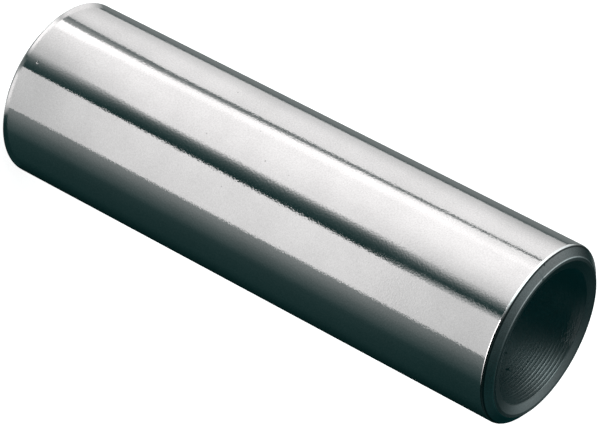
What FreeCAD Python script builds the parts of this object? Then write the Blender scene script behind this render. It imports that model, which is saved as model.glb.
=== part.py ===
import FreeCAD, Part
import math
import os

# Gudgeon pin: the hollow steel pin that joins a piston to its connecting rod.
# One turned and ground piece, bored right through, with both ends alike.
# It stands on one end: Z is its axis, and the origin is the centre of the lower end. Sizes are in mm.

pin_diameter = 22.0
pin_length = 71.0
wall_thickness = 2.7

# Each end, from the outside in: a wide outer cone that leads the pin into the piston,
# a narrow land that meets the circlip, and a wide shallow mouth cone down to the bore.
outer_cone_length = 0.9
outer_cone_depth = 1.1
land_width = 0.5
mouth_cone_length = 0.3

# Rounding where two of those surfaces meet.
ground_edge_rounding = 0.3
land_outer_rounding = 0.3
land_inner_rounding = 0.15
bore_edge_rounding = 0.1

# The most of a side that one corner's rounding may take.
rounding_share = 0.45

pin_radius = pin_diameter / 2
bore_radius = pin_radius - wall_thickness
land_outer_radius = pin_radius - outer_cone_depth
land_inner_radius = land_outer_radius - land_width


# The corners of one end's section, from the bore to the ground surface,
# each with its radius, its distance in from the end and its rounding.
def end_corners():
    return [
        (bore_radius, mouth_cone_length, bore_edge_rounding),
        (land_inner_radius, 0.0, land_inner_rounding),
        (land_outer_radius, 0.0, land_outer_rounding),
        (pin_radius, outer_cone_length, ground_edge_rounding),
    ]


# The whole section on the XZ plane: the lower end outwards, then the upper end inwards.
def section_corners():
    lower = [(FreeCAD.Vector(radius, 0, inset), rounding) for radius, inset, rounding in end_corners()]
    upper = [(FreeCAD.Vector(radius, 0, pin_length - inset), rounding) for radius, inset, rounding in end_corners()]
    return lower + upper[::-1]


# A closed outline with an arc at each corner, tangent to the two sides that meet there.
def rounded_outline(corners):
    arcs = []
    for index, (corner, rounding) in enumerate(corners):
        to_last = corners[index - 1][0] - corner
        to_next = corners[(index + 1) % len(corners)][0] - corner
        half_angle = to_last.getAngle(to_next) / 2
        longest_tangent = rounding_share * min(to_last.Length, to_next.Length)
        tangent = min(rounding / math.tan(half_angle), longest_tangent)
        to_last.normalize()
        to_next.normalize()
        bisector = (to_last + to_next).normalize()
        radius = tangent * math.tan(half_angle)
        crown = corner + bisector * (radius / math.sin(half_angle) - radius)
        arcs.append(Part.Arc(corner + to_last * tangent, crown, corner + to_next * tangent))

    edges = []
    for index, arc in enumerate(arcs):
        next_arc = arcs[(index + 1) % len(arcs)]
        edges.append(arc.toShape())
        edges.append(Part.LineSegment(arc.EndPoint, next_arc.StartPoint).toShape())
    return Part.Wire(edges)


def gudgeon_pin():
    section = Part.Face(rounded_outline(section_corners()))
    return section.revolve(FreeCAD.Vector(0, 0, 0), FreeCAD.Vector(0, 0, 1), 360)


os.makedirs("parts", exist_ok=True)
gudgeon_pin().exportStep("parts/gudgeon_pin.step")
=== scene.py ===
import bpy
import numpy as np
from math import radians
from mathutils import Matrix, Vector


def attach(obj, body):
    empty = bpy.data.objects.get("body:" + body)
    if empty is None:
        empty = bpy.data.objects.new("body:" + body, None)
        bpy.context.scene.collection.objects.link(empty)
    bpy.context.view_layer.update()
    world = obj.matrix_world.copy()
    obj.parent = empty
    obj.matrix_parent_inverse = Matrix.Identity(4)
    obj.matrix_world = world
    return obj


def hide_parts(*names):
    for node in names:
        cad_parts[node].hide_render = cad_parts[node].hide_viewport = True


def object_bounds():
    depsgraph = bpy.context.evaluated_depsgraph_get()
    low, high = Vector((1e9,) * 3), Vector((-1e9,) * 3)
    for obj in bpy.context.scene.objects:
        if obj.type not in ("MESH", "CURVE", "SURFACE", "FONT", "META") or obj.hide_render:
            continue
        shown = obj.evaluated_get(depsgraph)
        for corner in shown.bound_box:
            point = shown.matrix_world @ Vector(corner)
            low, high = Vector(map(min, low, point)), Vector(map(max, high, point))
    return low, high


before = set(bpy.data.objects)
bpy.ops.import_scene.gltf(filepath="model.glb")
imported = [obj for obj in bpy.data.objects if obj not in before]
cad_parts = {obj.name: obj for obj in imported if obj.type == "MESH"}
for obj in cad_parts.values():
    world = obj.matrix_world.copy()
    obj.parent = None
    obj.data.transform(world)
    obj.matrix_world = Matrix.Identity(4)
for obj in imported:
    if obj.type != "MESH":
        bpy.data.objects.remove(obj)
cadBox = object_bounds()
scene = bpy.context.scene
print("frame loaded:", sorted(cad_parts))

mm = 0.001
pinRadius = cadBox[1].x
pinLength = cadBox[1].z
upwards = np.array([0, 0, 1.0])


# Small helpers for meshes

def newObject(name, places, quads, smooth=True):
    mesh = bpy.data.meshes.new(name)
    mesh.from_pydata(places.reshape(-1, 3), [], quads.reshape(-1, 4))
    mesh.update()
    mesh.polygons.foreach_set("use_smooth", np.full(len(mesh.polygons), smooth))
    thing = bpy.data.objects.new(name, mesh)
    scene.collection.objects.link(thing)
    return thing


# Faces of a grid of rows by columns of points, closed on itself in either direction if asked.
def gridFaces(rows, columns, closeRows, closeColumns):
    row = np.arange(rows if closeRows else rows - 1)[:, None]
    column = np.arange(columns if closeColumns else columns - 1)[None, :]
    nextRow = (row + 1) % rows
    nextColumn = (column + 1) % columns
    corners = [row * columns + column, row * columns + nextColumn,
               nextRow * columns + nextColumn, nextRow * columns + column]
    return np.stack(np.broadcast_arrays(*corners), -1)


# A direction round the pin, minus sine and minus cosine of the angle: angle 0 faces the camera,
# and positive angles run towards the picture's upper edge.
def around(angle):
    return np.stack([-np.sin(angle), -np.cos(angle), np.zeros_like(angle)], -1)


# The same, raised from the floor by an elevation. Both are in degrees.
def direction(angle, elevation):
    lift = radians(elevation)
    return Vector(around(np.array(radians(angle)))) * np.cos(lift) + Vector((0, 0, np.sin(lift)))


# Small helpers for materials

def newMaterial(name):
    material = bpy.data.materials.new(name)
    material.use_nodes = True
    return material, material.node_tree.nodes, material.node_tree.links


def addNode(nodes, kind, inputs=(), **settings):
    node = nodes.new(kind)
    for key, value in settings.items():
        setattr(node, key, value)
    for key, value in dict(inputs).items():
        node.inputs[key].default_value = value
    return node


def addNoise(nodes, links, where, scale, detail, roughness=0.5):
    noise = addNode(nodes, "ShaderNodeTexNoise", {"Scale": scale, "Detail": detail, "Roughness": roughness})
    links.new(where, noise.inputs["Vector"])
    return noise.outputs["Fac"]


# A value carried over from one range to another.
def mapped(nodes, links, value, before, after):
    node = addNode(nodes, "ShaderNodeMapRange", {"From Min": before[0], "From Max": before[1],
                                                 "To Min": after[0], "To Max": after[1]})
    links.new(value, node.inputs["Value"])
    return node.outputs["Result"]


def scaled(nodes, links, colour, share):
    node = addNode(nodes, "ShaderNodeVectorMath", operation="SCALE")
    links.new(colour, node.inputs[0])
    links.new(share, node.inputs["Scale"])
    return node.outputs["Vector"]


# A surface raised by a height of 0 to 1 times the depth, on top of what another bump has raised.
def bumped(nodes, links, height, depth, normal=None):
    node = addNode(nodes, "ShaderNodeBump", {"Distance": depth, "Strength": 1.0})
    links.new(height, node.inputs["Height"])
    if normal is not None:
        links.new(normal, node.inputs["Normal"])
    return node.outputs["Normal"]


# Camera, where the photograph was taken from, with its roll about the line of sight

viewpoint = {
    "distance": 413.0 * mm,     # from the aim point
    "elevation": 27.43,         # above the floor, in degrees
    "roll": 117.48,             # the pin leans this far from upright in the picture
    "aim": (0.23 * mm, 0.0, 36.72 * mm),
    "lens": 216.0,              # lens and sensor in mm
    "sensor": 36.0,
    "nearest": 0.02,            # distances between which things are drawn
    "farthest": 20.0,
}


def placeCamera():
    data = bpy.data.cameras.new("camera")
    data.lens = viewpoint["lens"]
    data.sensor_width = viewpoint["sensor"]
    data.clip_start = viewpoint["nearest"]
    data.clip_end = viewpoint["farthest"]
    camera = bpy.data.objects.new("camera", data)
    scene.collection.objects.link(camera)
    lift = radians(viewpoint["elevation"])
    back = Vector((0, -np.cos(lift), np.sin(lift)))
    upright = (-back).to_track_quat("-Z", "Y").to_matrix()
    turned = upright @ Matrix.Rotation(radians(viewpoint["roll"]), 3, "Z")
    stand = Vector(viewpoint["aim"]) + back * viewpoint["distance"]
    camera.matrix_world = Matrix.Translation(stand) @ turned.to_4x4()
    scene.camera = camera
    return camera


camera = placeCamera()
print("camera placed")


# The pin: its section, a closed outline with a rounded corner at each edge, turned round the axis

pinShape = {
    "wall": 2.7 * mm,
    "outerConeLength": 0.85 * mm,
    "outerConeDepth": 1.15 * mm,
    "landWidth": 0.45 * mm,
    "mouthConeLength": 0.3 * mm,
    "groundEdgeRounding": 0.46 * mm,
    "landOuterRounding": 0.32 * mm,
    "landInnerRounding": 0.15 * mm,
    "boreEdgeRounding": 0.10 * mm,
    "edgeStrip": 0.12 * mm,     # width of the narrow strip on the cone beside the ground edge, painted dark as shade
    "arcSteps": 6,              # points on each rounded corner
    "turnSteps": 372,           # points round the pin
    "middleSteps": 8,           # points along the plain middle of the bore
    "feedMark": 0.41 * mm,      # from one turning mark in the bore to the next
    "feedSpread": 0.1,          # share by which that varies
    "feedDepth": 0.013 * mm,    # of the hollow between two crests
    "hollowPoints": (0.3, 0.5, 0.7),    # points on a hollow, as shares of the way across
    "crest": 0.017 * mm,        # how far a crest stands up from it
    "crestWidth": 0.06 * mm,
    "feedCount": 13,            # marks modelled at each mouth
    "feedStrength": (0.6, 1.2), # the faintest and the boldest mark
    "feedSide": (-153, 31),     # angle where they are deepest and how far they spread, in degrees
    "feedRest": 0.2,            # their share of that depth elsewhere
    "feedFade": 2.1 * mm,       # distance in from the mouth from which they grow fainter
    "chip": (33, 1.6, 0.13 * mm),       # in the upper end's ridge: angle and half width in degrees, depth
    "nibbles": (-143, 17, 0.022 * mm),  # dents on the upper mouth's rim: angle and spread in degrees, depth
    "seed": 4,
}


# One end's corners as radius and distance in from the end, from the bore to the ground surface.
def endCorners():
    bore = pinRadius - pinShape["wall"]
    landOuter = pinRadius - pinShape["outerConeDepth"]
    landInner = landOuter - pinShape["landWidth"]
    places = np.array([[bore, pinShape["mouthConeLength"]], [landInner, 0],
                       [landOuter, 0], [pinRadius, pinShape["outerConeLength"]]])
    roundings = np.array([pinShape["boreEdgeRounding"], pinShape["landInnerRounding"],
                          pinShape["landOuterRounding"], pinShape["groundEdgeRounding"]])
    return places, roundings


# Each corner becomes an arc tangent to its two sides: a point at the centre plus the radius times
# a direction that turns evenly from the first side's normal to the second's.
def roundedCorners(corners, roundings, steps):
    toLast = np.roll(corners, 1, 0) - corners
    toNext = np.roll(corners, -1, 0) - corners
    toLast /= np.linalg.norm(toLast, axis=1)[:, None]
    toNext /= np.linalg.norm(toNext, axis=1)[:, None]
    halfAngle = np.arccos(np.sum(toLast * toNext, 1)) / 2
    tangent = (roundings / np.tan(halfAngle))[:, None]
    bisector = toLast + toNext
    bisector /= np.linalg.norm(bisector, axis=1)[:, None]
    centre = corners + bisector * (roundings / np.sin(halfAngle))[:, None]
    start = corners + toLast * tangent - centre
    end = corners + toNext * tangent - centre
    sweep = np.arctan2(start[:, 0] * end[:, 1] - start[:, 1] * end[:, 0], np.sum(start * end, 1))
    turn = sweep[:, None] * np.linspace(0, 1, steps)[None, :]
    x = centre[:, :1] + start[:, :1] * np.cos(turn) - start[:, 1:] * np.sin(turn)
    z = centre[:, 1:] + start[:, :1] * np.sin(turn) + start[:, 1:] * np.cos(turn)
    return np.stack([x, z], -1)


# Turning marks as the radius added along the bore: each mark is a parabolic hollow between two narrow
# crests, and a crest falls to the hollow on both sides as a cosine. Also gives where the last mark ends.
def feedMarks(mouth):
    rng = np.random.default_rng(pinShape["seed"])
    spread, count, fade = pinShape["feedSpread"], pinShape["feedCount"], pinShape["feedFade"]
    flank = pinShape["crestWidth"] / pinShape["feedMark"] / 2
    across = np.array([0, flank / 2, flank, *pinShape["hollowPoints"], 1 - flank, 1 - flank / 2])
    pitch = pinShape["feedMark"] * (1 + rng.uniform(-spread, spread, count))
    start = mouth + np.concatenate([[0], np.cumsum(pitch)])
    inset = start[:-1, None] + pitch[:, None] * across[None, :]
    strength = rng.uniform(*pinShape["feedStrength"], count)[:, None]
    strength *= np.exp(-np.clip((start[:-1] - fade) / fade, 0, None))[:, None]
    nearCrest = np.clip(np.minimum(across, 1 - across) / flank, 0, 1)
    crest = pinShape["crest"] * (1 + np.cos(np.pi * nearCrest)) / 2
    hollow = pinShape["feedDepth"] * 4 * across * (1 - across)
    return inset.ravel(), (strength * (hollow - crest)[None, :]).ravel(), start[-1]


# A share that is 1 at one angle round the pin and falls off on both sides, as e to the power
# -(distance / spread) squared. The middle and the spread are in degrees.
def near(angle, middle, spread):
    away = (np.degrees(angle) - middle + 180) % 360 - 180
    return np.exp(-(away / spread) ** 2)


# The section's points, the radius that turning marks add to each, and the finish of the face from each
# point to the next. The corners are the lower end's, from the bore outwards, then the upper end's inwards.
def pinSection():
    steps = pinShape["arcSteps"]
    lowerPlaces, roundings = endCorners()
    upperPlaces = lowerPlaces * [1, -1] + [0, pinLength]
    corners = np.concatenate([lowerPlaces, upperPlaces[::-1]])
    arcs = roundedCorners(corners, np.concatenate([roundings, roundings[::-1]]), steps)

    inset, depth, inner = feedMarks(pinLength - arcs[-1, -1, 1])
    middle = np.linspace(pinLength - inner, inner, pinShape["middleSteps"])
    height = np.concatenate([pinLength - inset[1:], middle, inset[:0:-1]])
    boreLine = np.stack([np.full_like(height, lowerPlaces[0, 0]), height], -1)
    section = np.concatenate([arcs.reshape(-1, 2), boreLine])
    marks = np.concatenate([np.zeros(len(corners) * steps), depth[1:], np.zeros_like(middle), depth[:0:-1]])

    ground, turned, bored, polished, mouth, paintedShade = range(len(pinFinishes))
    onArc = [bored, bored, polished, ground]            # from the bore outwards
    afterArc = [mouth, bored, turned, ground]           # on the flat or cone outside each arc
    arcFinish = np.repeat(np.array(onArc + onArc[::-1])[:, None], steps, 1)
    arcFinish[:, -1] = afterArc + [turned, bored, mouth, bored]
    arcFinish[3, 0] = arcFinish[4, -2:] = paintedShade        # painted shade where a ground edge meets its cone
    finish = np.full(len(section), bored)
    finish[:arcFinish.size] = arcFinish.ravel()

    lowerCone, upperCone = arcs[3, 0] - arcs[2, -1], arcs[4, -1] - arcs[5, 0]
    strips = [arcs[3, 0] - pinShape["edgeStrip"] * lowerCone / np.linalg.norm(lowerCone),
              arcs[4, -1] - pinShape["edgeStrip"] * upperCone / np.linalg.norm(upperCone)]
    rows = [3 * steps, 5 * steps]                       # each cone gets one more row beside its ground edge
    finish = np.insert(finish, rows, [paintedShade, turned])
    return np.insert(section, rows, strips, 0), np.insert(marks, rows, 0), finish


# The surface, row by row along the section and column by column round the axis: the radius times
# the direction, plus the height.
def makePin():
    section, marks, finish = pinSection()
    steps = pinShape["arcSteps"]
    angle = np.linspace(0, 2 * np.pi, pinShape["turnSteps"], endpoint=False)
    share = pinShape["feedRest"] + (1 - pinShape["feedRest"]) * near(angle, *pinShape["feedSide"])
    radius = section[:, :1] + marks[:, None] * share[None]
    height = np.repeat(section[:, 1:], len(angle), 1)

    moreRows = 2                        # the two strips come before the upper end's ridge and rim
    ridge, rim = [slice(moreRows + corner * steps, moreRows + (corner + 1) * steps) for corner in (5, 6)]
    *place, deep = pinShape["chip"]
    chip = deep * near(angle, *place)[None]
    radius[ridge] -= chip
    height[ridge] -= chip / 2
    *place, deep = pinShape["nibbles"]
    rng = np.random.default_rng(pinShape["seed"])
    height[rim] -= deep * (near(angle, *place) * rng.uniform(0, 1, len(angle)))[None]

    places = radius[..., None] * around(angle)[None] + height[..., None] * upwards
    pin = newObject("hollowPin", places, gridFaces(len(section), len(angle), True, True))
    finish = np.repeat(finish, len(angle))
    pin.data.polygons.foreach_set("material_index", finish.astype(np.int32))
    print("hollow pin:", len(section), "rows,", len(finish) * 2, "triangles")
    return pin


# Steel finishes, in the order in which pinSection numbers them. "cloud" is how far the roughness drifts,
# "marks" how close the fine marks lie along each axis, "bump" their depth, "grain" the unevenness of the
# colour, and "veil" a faint glow painted into the steel, so that even its dark tones never go black. A
# spot of wear is an angle, a height and a radius, its half width round the pin, its half height, and its
# share of the colour, in degrees and mm. A nick has its depth in the last place.
pinFinishes = {
    "groundSteel": {
        "colour": (0.77, 0.775, 0.775), "roughness": 0.06, "cloud": 0.02, "patina": 0.05,
        "marks": (3200, 3200, 7000), "bump": 0.0060 * mm, "grain": 0.15, "grit": 0.0045 * mm,
        "veil": (0.0022, 0.0022, 0.0022, 1), "glowUnevenness": 1.0,
        "wear": ((-2, 25, 11, 0.11, 0.9, 0.75), (-9, 32, 11, 0.12, 0.12, 0.7), (15, 27, 11, 0.12, 0.12, 0.7),
                 (52, 26, 11, 0.12, 0.12, 0.7), (16.4, 35.3, 11, 0.13, 0.13, 0.6),
                 (32.2, 32.3, 11, 0.11, 0.11, 0.7), (15.2, 38.8, 11, 0.11, 0.11, 0.75)),
        "nicks": ((6.1, 2.8, 11, 0.2, 0.2, 0.03),),
    },
    # Its colour, half the ground steel's, is painted shade on the outer cones.
    "turnedSteel": {
        "colour": (0.38, 0.385, 0.385), "roughness": 0.22, "cloud": 0.05,
        "marks": (4000, 4000, 9000), "bump": 0.0030 * mm, "grain": 0.3,
        "veil": (0, 0.0075, 0.008, 1),
        "wear": ((40.5, 70.38, 10.72, 0.18, 0.16, 0.15),),
    },
    # Its roughness and turning marks are the bore's own. Its colour, a fifth of the ground steel's, is
    # painted shade on the bore, its edge and the flat land of each end.
    "boredSteel": {
        "colour": (0.15, 0.165, 0.165), "roughness": 0.40, "cloud": 0.05, "lathe": 0.75,
        "marks": (900, 900, 9000), "bump": 0.0012 * mm, "grain": 0.12,
        "veil": (0, 0.0065, 0.0070, 1),
        "wear": ((-142, 65.9, 8.3, 0.30, 0.26, 0.1), (-154.5, 64.3, 8.3, 0.15, 0.3, 0.3),
                 (-157, 67.2, 8.3, 0.12, 0.2, 0.3)),
    },
    "polishedEdge": {
        "colour": (0.85, 0.86, 0.86), "roughness": 0.11, "cloud": 0.03,
        "marks": (2000, 2000, 2000), "bump": 0.0040 * mm, "grain": 0.3,
        "veil": (0, 0.0075, 0.008, 1),
    },
    # Its colour and its dimming seen edge on are painted shade on the mouth cones.
    "mouthSteel": {
        "colour": (0.30, 0.31, 0.31), "roughness": 0.30, "cloud": 0.05, "edge": 0.3,
        "marks": (900, 900, 9000), "bump": 0.0030 * mm, "grain": 0.3,
        "veil": (0, 0.0075, 0.008, 1),
    },
    # Painted shade: far darker than any steel, for the dark line beside each ground edge.
    "paintedShadeEdge": {
        "colour": (0.08, 0.085, 0.085), "roughness": 0.20, "cloud": 0.05,
        "marks": (2000, 2000, 2000), "bump": 0.0040 * mm, "grain": 0.4,
        "veil": (0, 0.0030, 0.0032, 1),
    },
}
plainFinish = {                 # what a finish has where it says nothing else
    "patina": 0.0,              # how far its colour drifts
    "edge": 1.0,                # how bright it is seen edge on
    "lathe": 0.0,               # how far turning marks draw out its reflections
    "latheTurn": 0.25,          # which way they do, in turns from the way round the axis
    "glowUnevenness": 0.4,                # how uneven the veil's painted glow is
    "grit": 0.0010 * mm,        # depth of the finest unevenness
    "wear": (),
    "nicks": (),
}
steelPatterns = {"cloudScale": 160.0, "speckleScale": 6500.0, "gritScale": 4200.0}
wholeNoise = (0.0, 1.0)         # where all of a noise's values lie
usualNoise = (0.3, 0.7)         # where most of them lie
spotFade = (0.5, 1.0)           # shares of a spot's size between which it fades


# A value that is inside in the middle of a spot and outside beyond it, by the distance from its middle
# as a share of its size.
def spotValue(nodes, links, where, spot, inside, outside):
    angle, height, radius, width, tall = spot
    middle = direction(angle, 0) * radius * mm + Vector((0, 0, height * mm))
    away = addNode(nodes, "ShaderNodeVectorMath", {1: middle}, operation="SUBTRACT")
    links.new(where, away.inputs[0])
    shares = [1 / (size * mm) for size in (width, width, tall)]
    sized = addNode(nodes, "ShaderNodeVectorMath", {1: shares}, operation="MULTIPLY")
    links.new(away.outputs["Vector"], sized.inputs[0])
    far = addNode(nodes, "ShaderNodeVectorMath", operation="LENGTH")
    links.new(sized.outputs["Vector"], far.inputs[0])
    return mapped(nodes, links, far.outputs["Value"], spotFade, (inside, outside))


# Steel with fine marks that run round the axis, a fine grain in its colour, small spots of wear, nicks,
# and a roughness and colour that drift a little from place to place.
def steel(name, ownFinish):
    finish = {**plainFinish, **ownFinish}
    material, nodes, links = newMaterial(name)
    shader = nodes["Principled BSDF"]
    shader.inputs["Metallic"].default_value = 1.0
    where = addNode(nodes, "ShaderNodeTexCoord").outputs["Object"]
    lines = addNode(nodes, "ShaderNodeMapping", {"Scale": finish["marks"]})
    links.new(where, lines.inputs["Vector"])
    marks = addNoise(nodes, links, lines.outputs["Vector"], 1.0, 2.0, 0.6)
    clouds = addNoise(nodes, links, where, steelPatterns["cloudScale"], 3.0)
    speckle = addNoise(nodes, links, where, steelPatterns["speckleScale"], 1.0)
    grit = addNoise(nodes, links, where, steelPatterns["gritScale"], 1.0)

    drift = (finish["roughness"] - finish["cloud"], finish["roughness"] + finish["cloud"])
    links.new(mapped(nodes, links, clouds, wholeNoise, drift), shader.inputs["Roughness"])

    darker, brighter = [Vector(finish["colour"]) * (1 + side * finish["grain"]) for side in (-1, 1)]
    grain = addNode(nodes, "ShaderNodeMix", data_type="RGBA")
    grain.inputs[6].default_value = (*darker, 1)
    grain.inputs[7].default_value = (*brighter, 1)
    links.new(speckle, grain.inputs[0])
    drift = (1 - finish["patina"], 1 + finish["patina"])
    colour = scaled(nodes, links, grain.outputs[2], mapped(nodes, links, clouds, usualNoise, drift))
    for *spot, share in finish["wear"]:
        colour = scaled(nodes, links, colour, spotValue(nodes, links, where, spot, share, 1.0))
    links.new(colour, shader.inputs["Base Color"])
    shader.inputs["Specular Tint"].default_value = (*[finish["edge"]] * 3, 1)

    shader.inputs["Anisotropic"].default_value = finish["lathe"]
    shader.inputs["Anisotropic Rotation"].default_value = finish["latheTurn"]
    roundAxis = addNode(nodes, "ShaderNodeVectorMath", {0: (0, 0, 1)}, operation="CROSS_PRODUCT")
    links.new(where, roundAxis.inputs[1])
    links.new(roundAxis.outputs["Vector"], shader.inputs["Tangent"])

    # A faint glow painted into the steel, patchy with the speckle, so that its dark tones never go black.
    shader.inputs["Emission Color"].default_value = finish["veil"]
    drift = (1 - finish["glowUnevenness"], 1 + finish["glowUnevenness"])
    links.new(mapped(nodes, links, speckle, usualNoise, drift), shader.inputs["Emission Strength"])

    normal = bumped(nodes, links, marks, finish["bump"])
    normal = bumped(nodes, links, grit, finish["grit"], normal)
    for *spot, depth in finish["nicks"]:
        normal = bumped(nodes, links, spotValue(nodes, links, where, spot, 0.0, 1.0), depth * mm, normal)
    links.new(normal, shader.inputs["Normal"])
    return material


pin = makePin()
for name, finish in pinFinishes.items():
    pin.data.materials.append(steel(name, finish))
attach(pin, "root")
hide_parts("gudgeon_pin")
print("pin dressed")


# Floor and room

room = {
    "floorSize": 6.0,
    "floorColour": (0.86, 0.86, 0.86, 1),
    "floorRoughness": 0.9,
    "floorWhite": 0.92,                     # the floor's own share of white
    "dark": (0.0, 0.004, 0.004),            # colour of the room away from its lights
    # the lights: angle, elevation and colour of the middle of each, and how narrow it is
    "lights": {
        "lowFront": (30, 8, (1.60, 1.65, 1.65), 18),
        "lowSide": (60, 8, (2.60, 2.68, 2.70), 18),
        "lowFar": (90, 8, (0.90, 0.90, 0.90), 18),
        "lowBack": (120, 8, (0.78, 0.85, 0.86), 18),
        "front": (45, 28, (2.40, 2.80, 2.83), 18),
        "side": (75, 28, (0.89, 0.98, 0.98), 18),
        "far": (105, 28, (0.72, 0.72, 0.73), 18),
        "top": (120, 70, (0.33, 0.37, 0.38), 18),
        "topFill": (-60, 70, (0.050, 0.062, 0.063), 18),
        "fill": (-115, 48, (0.006, 0.014, 0.014), 18),
        "fillFar": (-135, 28, (0.013, 0.026, 0.026), 18),
        "back": (130, 30, (0.06, 0.08, 0.08), 45),
        "backHigh": (150, 46, (0.21, 0.21, 0.21), 45),
        "backTop": (150, 60, (0.24, 0.26, 0.26), 45),
        "backLow": (162, 36, (0.48, 0.56, 0.57), 45),
    },
}
white = (1, 1, 1, 1)


def makeFloor():
    half = room["floorSize"] / 2
    corners = np.array([[-half, -half, 0], [half, -half, 0], [-half, half, 0], [half, half, 0.0]])
    floor = newObject("floor", corners, gridFaces(2, 2, False, False), False)
    material, nodes, links = newMaterial("paleFloor")
    shader = nodes["Principled BSDF"]
    shader.inputs["Base Color"].default_value = room["floorColour"]
    shader.inputs["Roughness"].default_value = room["floorRoughness"]
    shader.inputs["Specular IOR Level"].default_value = 0.0
    shader.inputs["Emission Color"].default_value = white
    path = addNode(nodes, "ShaderNodeLightPath")
    seen = addNode(nodes, "ShaderNodeMath", operation="MAXIMUM")
    links.new(path.outputs["Is Camera Ray"], seen.inputs[0])
    links.new(path.outputs["Is Glossy Ray"], seen.inputs[1])
    shine = addNode(nodes, "ShaderNodeMath", {1: room["floorWhite"]}, operation="MULTIPLY")
    links.new(seen.outputs["Value"], shine.inputs[0])
    links.new(shine.outputs["Value"], shader.inputs["Emission Strength"])
    floor.data.materials.append(material)


# White to the camera. To the pin it is a dark room with soft lights, each as bright as its colour times
# e to the power focus * (cosine of the angle from its middle - 1).
def makeRoomLight():
    world = bpy.data.worlds.new("room")
    scene.world = world
    world.use_nodes = True
    nodes = world.node_tree.nodes
    links = world.node_tree.links
    background = nodes["Background"]
    background.inputs["Strength"].default_value = 1.0
    place = addNode(nodes, "ShaderNodeTexCoord")
    total = addNode(nodes, "ShaderNodeVectorMath", {0: room["dark"]}, operation="ADD")
    for angle, elevation, colour, focus in room["lights"].values():
        toLight = addNode(nodes, "ShaderNodeVectorMath", operation="DOT_PRODUCT")
        toLight.inputs[1].default_value = direction(angle, elevation)
        links.new(place.outputs["Generated"], toLight.inputs[0])
        power = addNode(nodes, "ShaderNodeMath", {1: focus, 2: -focus}, operation="MULTIPLY_ADD")
        links.new(toLight.outputs["Value"], power.inputs[0])
        share = addNode(nodes, "ShaderNodeMath", operation="EXPONENT")
        links.new(power.outputs["Value"], share.inputs[0])
        light = addNode(nodes, "ShaderNodeVectorMath", {1: colour}, operation="MULTIPLY_ADD")
        links.new(share.outputs["Value"], light.inputs[0])
        links.new(total.outputs["Vector"], light.inputs[2])
        total = light
    path = addNode(nodes, "ShaderNodeLightPath")
    colour = addNode(nodes, "ShaderNodeMix", data_type="RGBA")
    colour.inputs[7].default_value = white
    links.new(total.outputs["Vector"], colour.inputs[6])
    links.new(path.outputs["Is Camera Ray"], colour.inputs[0])
    links.new(colour.outputs[2], background.inputs["Color"])


# Cards on the floor round the pin. They show only in its reflections. "edges" are the angles on the pin's
# side between which the camera sees a card, at the foot, a quarter of the way up and at the top. "levels"
# are its brightness from one edge to the other, one list or a list each for the foot, the middle and
# the top. "fade" is a share of that for each of the three.
cards = {
    "underCard": {
        "edges": ((-88, -27.4), (-88, -27.0), (-88, -26.1)),
        "levels": (0.008, 0.008, 0.016, 0.028, 0.032, 0.04, 0.115, 0.26),
        "fade": (0.95, 1, 0.85),
    },
    "lowerPanel": {
        "edges": ((-27.4, -0.2), (-27.0, -1.0), (-26.1, -3.4)),
        "levels": (0.81, 0.85, 0.88, 0.90),
        "fade": (0.74, 1, 0.81),
    },
    "splitCard": {
        "edges": ((-0.2, 12.6), (-1.0, 9.3), (-3.4, 8.6)),
        "levels": ((0.04, 0.045, 0.06, 0.10, 0.17, 0.32, 0.50, 0.64),
                   (0.04, 0.03, 0.04, 0.055, 0.08, 0.14, 0.32, 0.86),
                   (0.60, 0.30, 0.03, 0.06, 0.12, 0.26, 0.52, 0.71)),
    },
    "upperPanel": {
        "edges": ((12.6, 31.5), (9.3, 31.5), (8.6, 30.5)),
        "levels": ((0.63, 0.74, 0.86, 0.94, 1.02),
                   (0.92, 0.98, 1.05, 1.10, 1.12),
                   (0.72, 0.92, 1.06, 1.12, 1.14)),
    },
    "brightPanel": {
        "edges": ((31.5, 39.5), (31.5, 37.9), (30.5, 39.5)),
        "levels": ((1.05, 1.3, 1.4, 1.4, 1.3),
                   (1.12, 1.24, 1.35, 1.3, 1.0),
                   (1.15, 1.24, 1.15, 1.0, 1.0)),
    },
    "lineCard": {
        "edges": ((39.5, 45), (37.9, 41.9), (39.5, 41.2)),
        "levels": ((0.5, 0.3, 0.3, 0.18, 0.25),
                   (0.55, 0.3, 0.25, 0.12, 0.15),
                   (0.6, 0.3, 0.02, 0.02, 0.3)),
    },
    "farPanel": {
        "edges": ((45, 69.5), (41.9, 68.5), (41.2, 66.2)),
        "levels": ((0.65, 0.84, 0.88, 0.86, 0.79, 0.70, 0.66),
                   (0.90, 0.96, 0.97, 0.95, 0.85, 0.74, 0.66),
                   (0.90, 0.98, 0.98, 0.91, 0.79, 0.63, 0.52)),
    },
    "edgeCard": {
        "edges": ((69.5, 89), (68.5, 89), (66.2, 89)),
        "levels": (0.10, 0.19, 0.21, 0.21, 0.2, 0.2),
    },
}
cardShape = {
    "heights": np.array([0, 2, 4, 6, 9, 13, 17, 24, 35, 46, 56, 60, 64, 67, 69, 71, 78, 90, 110, 142]) * mm,
    "edgeHeights": np.array([0, 17, 71]) * mm,          # where the three pairs of edges hold
    "levelHeights": np.array([4, 15, 60, 68]) * mm,     # of the foot's list, the middle's (twice), the top's
    "columns": 41,                                      # points across a card
    "lift": 0.05 * mm,                                  # above the floor
}


# Where the camera sees a point of the floor mirrored in the pin's side: the line of sight less twice
# its part along the surface's normal, followed down to the floor.
def mirroredOnFloor(angle, height):
    normal = around(angle)
    point = normal * pinRadius + height[..., None] * upwards
    sight = point - np.array(camera.location)
    sight /= np.linalg.norm(sight, axis=-1)[..., None]
    bounced = sight - 2 * np.sum(sight * normal, -1)[..., None] * normal
    return point + bounced * (height / -bounced[..., 2])[..., None]


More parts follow.
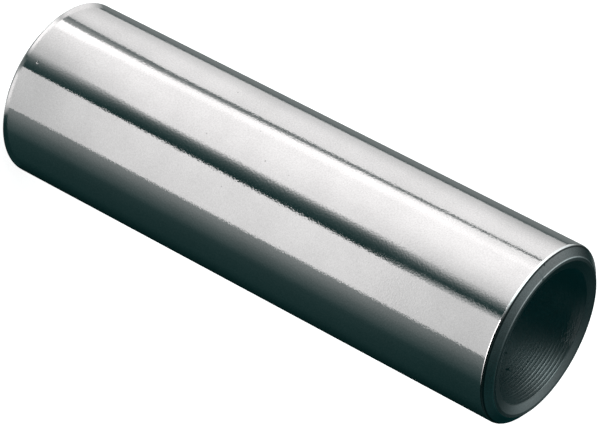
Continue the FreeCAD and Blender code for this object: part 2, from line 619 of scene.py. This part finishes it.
cardTint = {
    "missing": 0.031,       # red that a dark card lacks at most
    "rise": 0.026,          # level by which it lacks most of that
    "balance": 0.58,        # level at which it lacks none
}


# A dark card is cooler than a bright one: it lacks red, by the most it can lack times one less
# e to the power -(level / rise), times one less level / balance.
def cardColour(level):
    rising = 1 - np.exp(-level / cardTint["rise"])
    missing = cardTint["missing"] * rising * (1 - level / cardTint["balance"])
    return np.stack([level - missing, level, level, np.ones_like(level)], -1)


# A glowing sheet that only reflections show, with a brightness at each of its points.
def glowingSheet(name, places, levels):
    rows, columns = levels.shape
    sheet = newObject(name, places, gridFaces(rows, columns, False, False))
    glow = sheet.data.attributes.new("glow", "FLOAT_COLOR", "POINT")
    glow.data.foreach_set("color", cardColour(levels).ravel())
    material, nodes, links = newMaterial(name)
    nodes.clear()
    shine = addNode(nodes, "ShaderNodeEmission")
    colour = addNode(nodes, "ShaderNodeAttribute", attribute_name="glow")
    output = addNode(nodes, "ShaderNodeOutputMaterial")
    links.new(colour.outputs["Color"], shine.inputs["Color"])
    links.new(shine.outputs["Emission"], output.inputs["Surface"])
    sheet.data.materials.append(material)
    for ray in ("camera", "diffuse", "transmission", "volume_scatter", "shadow"):
        setattr(sheet, "visible_" + ray, False)


# Each card's points lie where the camera sees them in the pin, evenly between its two edges, and its
# levels change evenly from the list for the foot to the one for the middle, and on to the one for the top.
def makeCards():
    heights = cardShape["heights"]
    across = np.linspace(0, 1, cardShape["columns"])
    onPin = np.repeat(heights[:, None], cardShape["columns"], 1)
    foot, top = [np.interp(heights, cardShape["levelHeights"], share)[:, None]
                 for share in ([1, 0, 0, 0], [0, 0, 0, 1])]
    for name, card in cards.items():
        low, high = [np.interp(heights, cardShape["edgeHeights"], side)[:, None]
                     for side in zip(*card["edges"])]
        places = mirroredOnFloor(np.radians(low + (high - low) * across[None, :]), onPin)
        places[..., 2] = cardShape["lift"]
        lists = card["levels"] if isinstance(card["levels"][0], tuple) else (card["levels"],) * 3
        profiles = np.array([np.interp(across, np.linspace(0, 1, len(values)), values) for values in lists])
        profiles *= np.array(card.get("fade", (1, 1, 1)))[:, None]
        glowingSheet(name, places, foot * profiles[0] + (1 - foot - top) * profiles[1] + top * profiles[2])


# More sheets, each over a range of angles: "reach" and "heights" go from its inner or lower edge to its
# outer or upper one, and "levels" from its first angle to its last.
onFloor = (0.03 * mm, 0.03 * mm)
farSheets = {
    "backCard": {"angles": (135, 285), "reach": (0.20, 4.3), "heights": onFloor,
                 "levels": (0.6, 0.1) + (0.02,) * 9},
    "footGlow": {"angles": (-90, 90), "reach": (11.05 * mm, 12.55 * mm), "heights": (0.07 * mm, 0.07 * mm),
                 "levels": (0.02,) * 7 + (0.05, 0.6, 1.0, 1.0, 0.9, 0.2, 0.1, 1.1, 1.3, 1.3,
                                          1.3, 0.6, 1.0, 1.0, 1.0, 0.9, 0.6, 0.3)},
    # A dimmer ring under the foot: painted shadow of the pin on the floor, shown only in reflections.
    "footShadowRing": {"angles": (0, 360), "reach": (8.0 * mm, 11.1 * mm), "heights": onFloor,
                 "levels": (0.3,)},
    "rightRim": {"angles": (-85, -5), "reach": (1.2, 1.2), "heights": (0, 0.21),
                 "levels": (0.12, 0.9, 3.0, 3.7, 3.7)},
    "rightFloor": {"angles": (-85, -5), "reach": (0.35, 1.19), "heights": onFloor,
                   "levels": (0.05, 0.5, 2.4, 3.2, 3.2)},
    "gapFloor": {"angles": (-5, 8), "reach": (0.28, 1.9), "heights": onFloor,
                 "levels": (0.04,)},
}
farSteps = (5, 73)          # points from edge to edge, and along the angles


def makeFarSheets():
    rows, columns = farSteps
    for name, sheet in farSheets.items():
        angle = np.radians(np.linspace(*sheet["angles"], columns))
        reach = np.linspace(*sheet["reach"], rows)[:, None, None]
        height = np.linspace(*sheet["heights"], rows)[:, None, None]
        given = np.linspace(0, 1, len(sheet["levels"]))
        levels = np.interp(np.linspace(0, 1, columns), given, sheet["levels"])
        glowingSheet(name, reach * around(angle)[None] + height * upwards, np.repeat(levels[None], rows, 0))


makeFloor()
makeRoomLight()
makeCards()
makeFarSheets()
print("floor, room and cards placed")

scene.view_settings.view_transform = "Standard"
